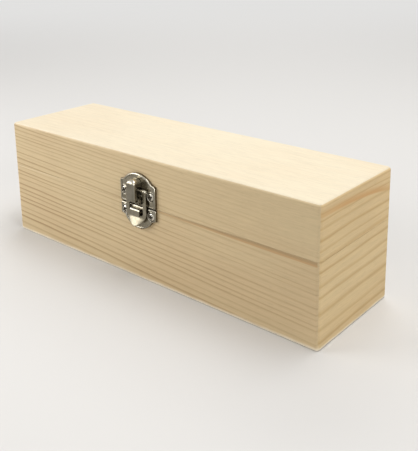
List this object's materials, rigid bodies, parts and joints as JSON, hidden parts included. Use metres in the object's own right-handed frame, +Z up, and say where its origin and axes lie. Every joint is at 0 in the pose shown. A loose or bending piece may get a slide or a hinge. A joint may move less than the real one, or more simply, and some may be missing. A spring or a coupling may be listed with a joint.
{
  "type": "hinged wooden box",
  "caption": "Long narrow softwood box with a lid hinged along its back and a nickel-plated toggle catch on its front.",
  "frame": {"origin": "centre of the box's underside, midway between the ends and between the front and back faces", "axes": "+X to the right along the length, -Y out of the front face that carries the catch, +Z up"},
  "size_m": [0.205, 0.0697, 0.065],
  "materials": {
    "pine_boards": "bare sanded pine, pale straw tan with fine straight growth lines along the length, satin",
    "pine_panels": "bare sanded pine, pale cream with faint growth lines along the length, satin",
    "nickel_plate": "bright nickel plating on pressed sheet steel, slightly warm, lightly handled",
    "fastener_steel": "nickel-plated steel screws, nails and pins, bright"
  },
  "bodies": {
    "base": {"base_front_board": "pine_boards", "base_back_board": "pine_boards", "base_left_end": "pine_boards", "base_right_end": "pine_boards", "base_bottom_panel": "pine_panels", "catch_base_plate": "nickel_plate", "catch_base_screw_left": "fastener_steel", "catch_base_screw_right": "fastener_steel", "hinge_left_base_leaf": "nickel_plate", "hinge_right_base_leaf": "nickel_plate", "hinge_left_pin": "fastener_steel", "hinge_right_pin": "fastener_steel", "hinge_left_base_nail_a": "fastener_steel", "hinge_left_base_nail_b": "fastener_steel", "hinge_right_base_nail_a": "fastener_steel", "hinge_right_base_nail_b": "fastener_steel"},
    "lid": {"lid_front_board": "pine_boards", "lid_back_board": "pine_boards", "lid_left_end": "pine_boards", "lid_right_end": "pine_boards", "lid_top_panel": "pine_panels", "catch_lid_plate": "nickel_plate", "catch_lever_pin": "fastener_steel", "catch_lid_screw_left": "fastener_steel", "catch_lid_screw_right": "fastener_steel", "hinge_left_lid_leaf": "nickel_plate", "hinge_right_lid_leaf": "nickel_plate", "hinge_left_lid_nail_a": "fastener_steel", "hinge_left_lid_nail_b": "fastener_steel", "hinge_right_lid_nail_a": "fastener_steel", "hinge_right_lid_nail_b": "fastener_steel"},
    "lever": {"catch_lever": "nickel_plate", "catch_loop_pin": "fastener_steel"},
    "loop": {"catch_loop": "nickel_plate"}
  },
  "joints": [
    {"name": "lid_hinge", "type": "hinge", "parent": "base", "child": "lid", "pos_m": [0, 0.0317, 0.04], "axis": [-1, 0, 0], "range_deg": [0, 180]},
    {"name": "catch_lever_pivot", "type": "hinge", "parent": "lid", "child": "lever", "pos_m": [0, -0.0331, 0.0433], "axis": [1, 0, 0], "range_deg": [0, 55]},
    {"name": "catch_loop_pivot", "type": "hinge", "parent": "lever", "child": "loop", "pos_m": [0, -0.03235, 0.0486], "axis": [1, 0, 0], "range_deg": [-33, 0]}
  ],
  "couplings": [
    {"joint": "catch_loop_pivot", "follows": "catch_lever_pivot", "ratio": -0.6}
  ]
}
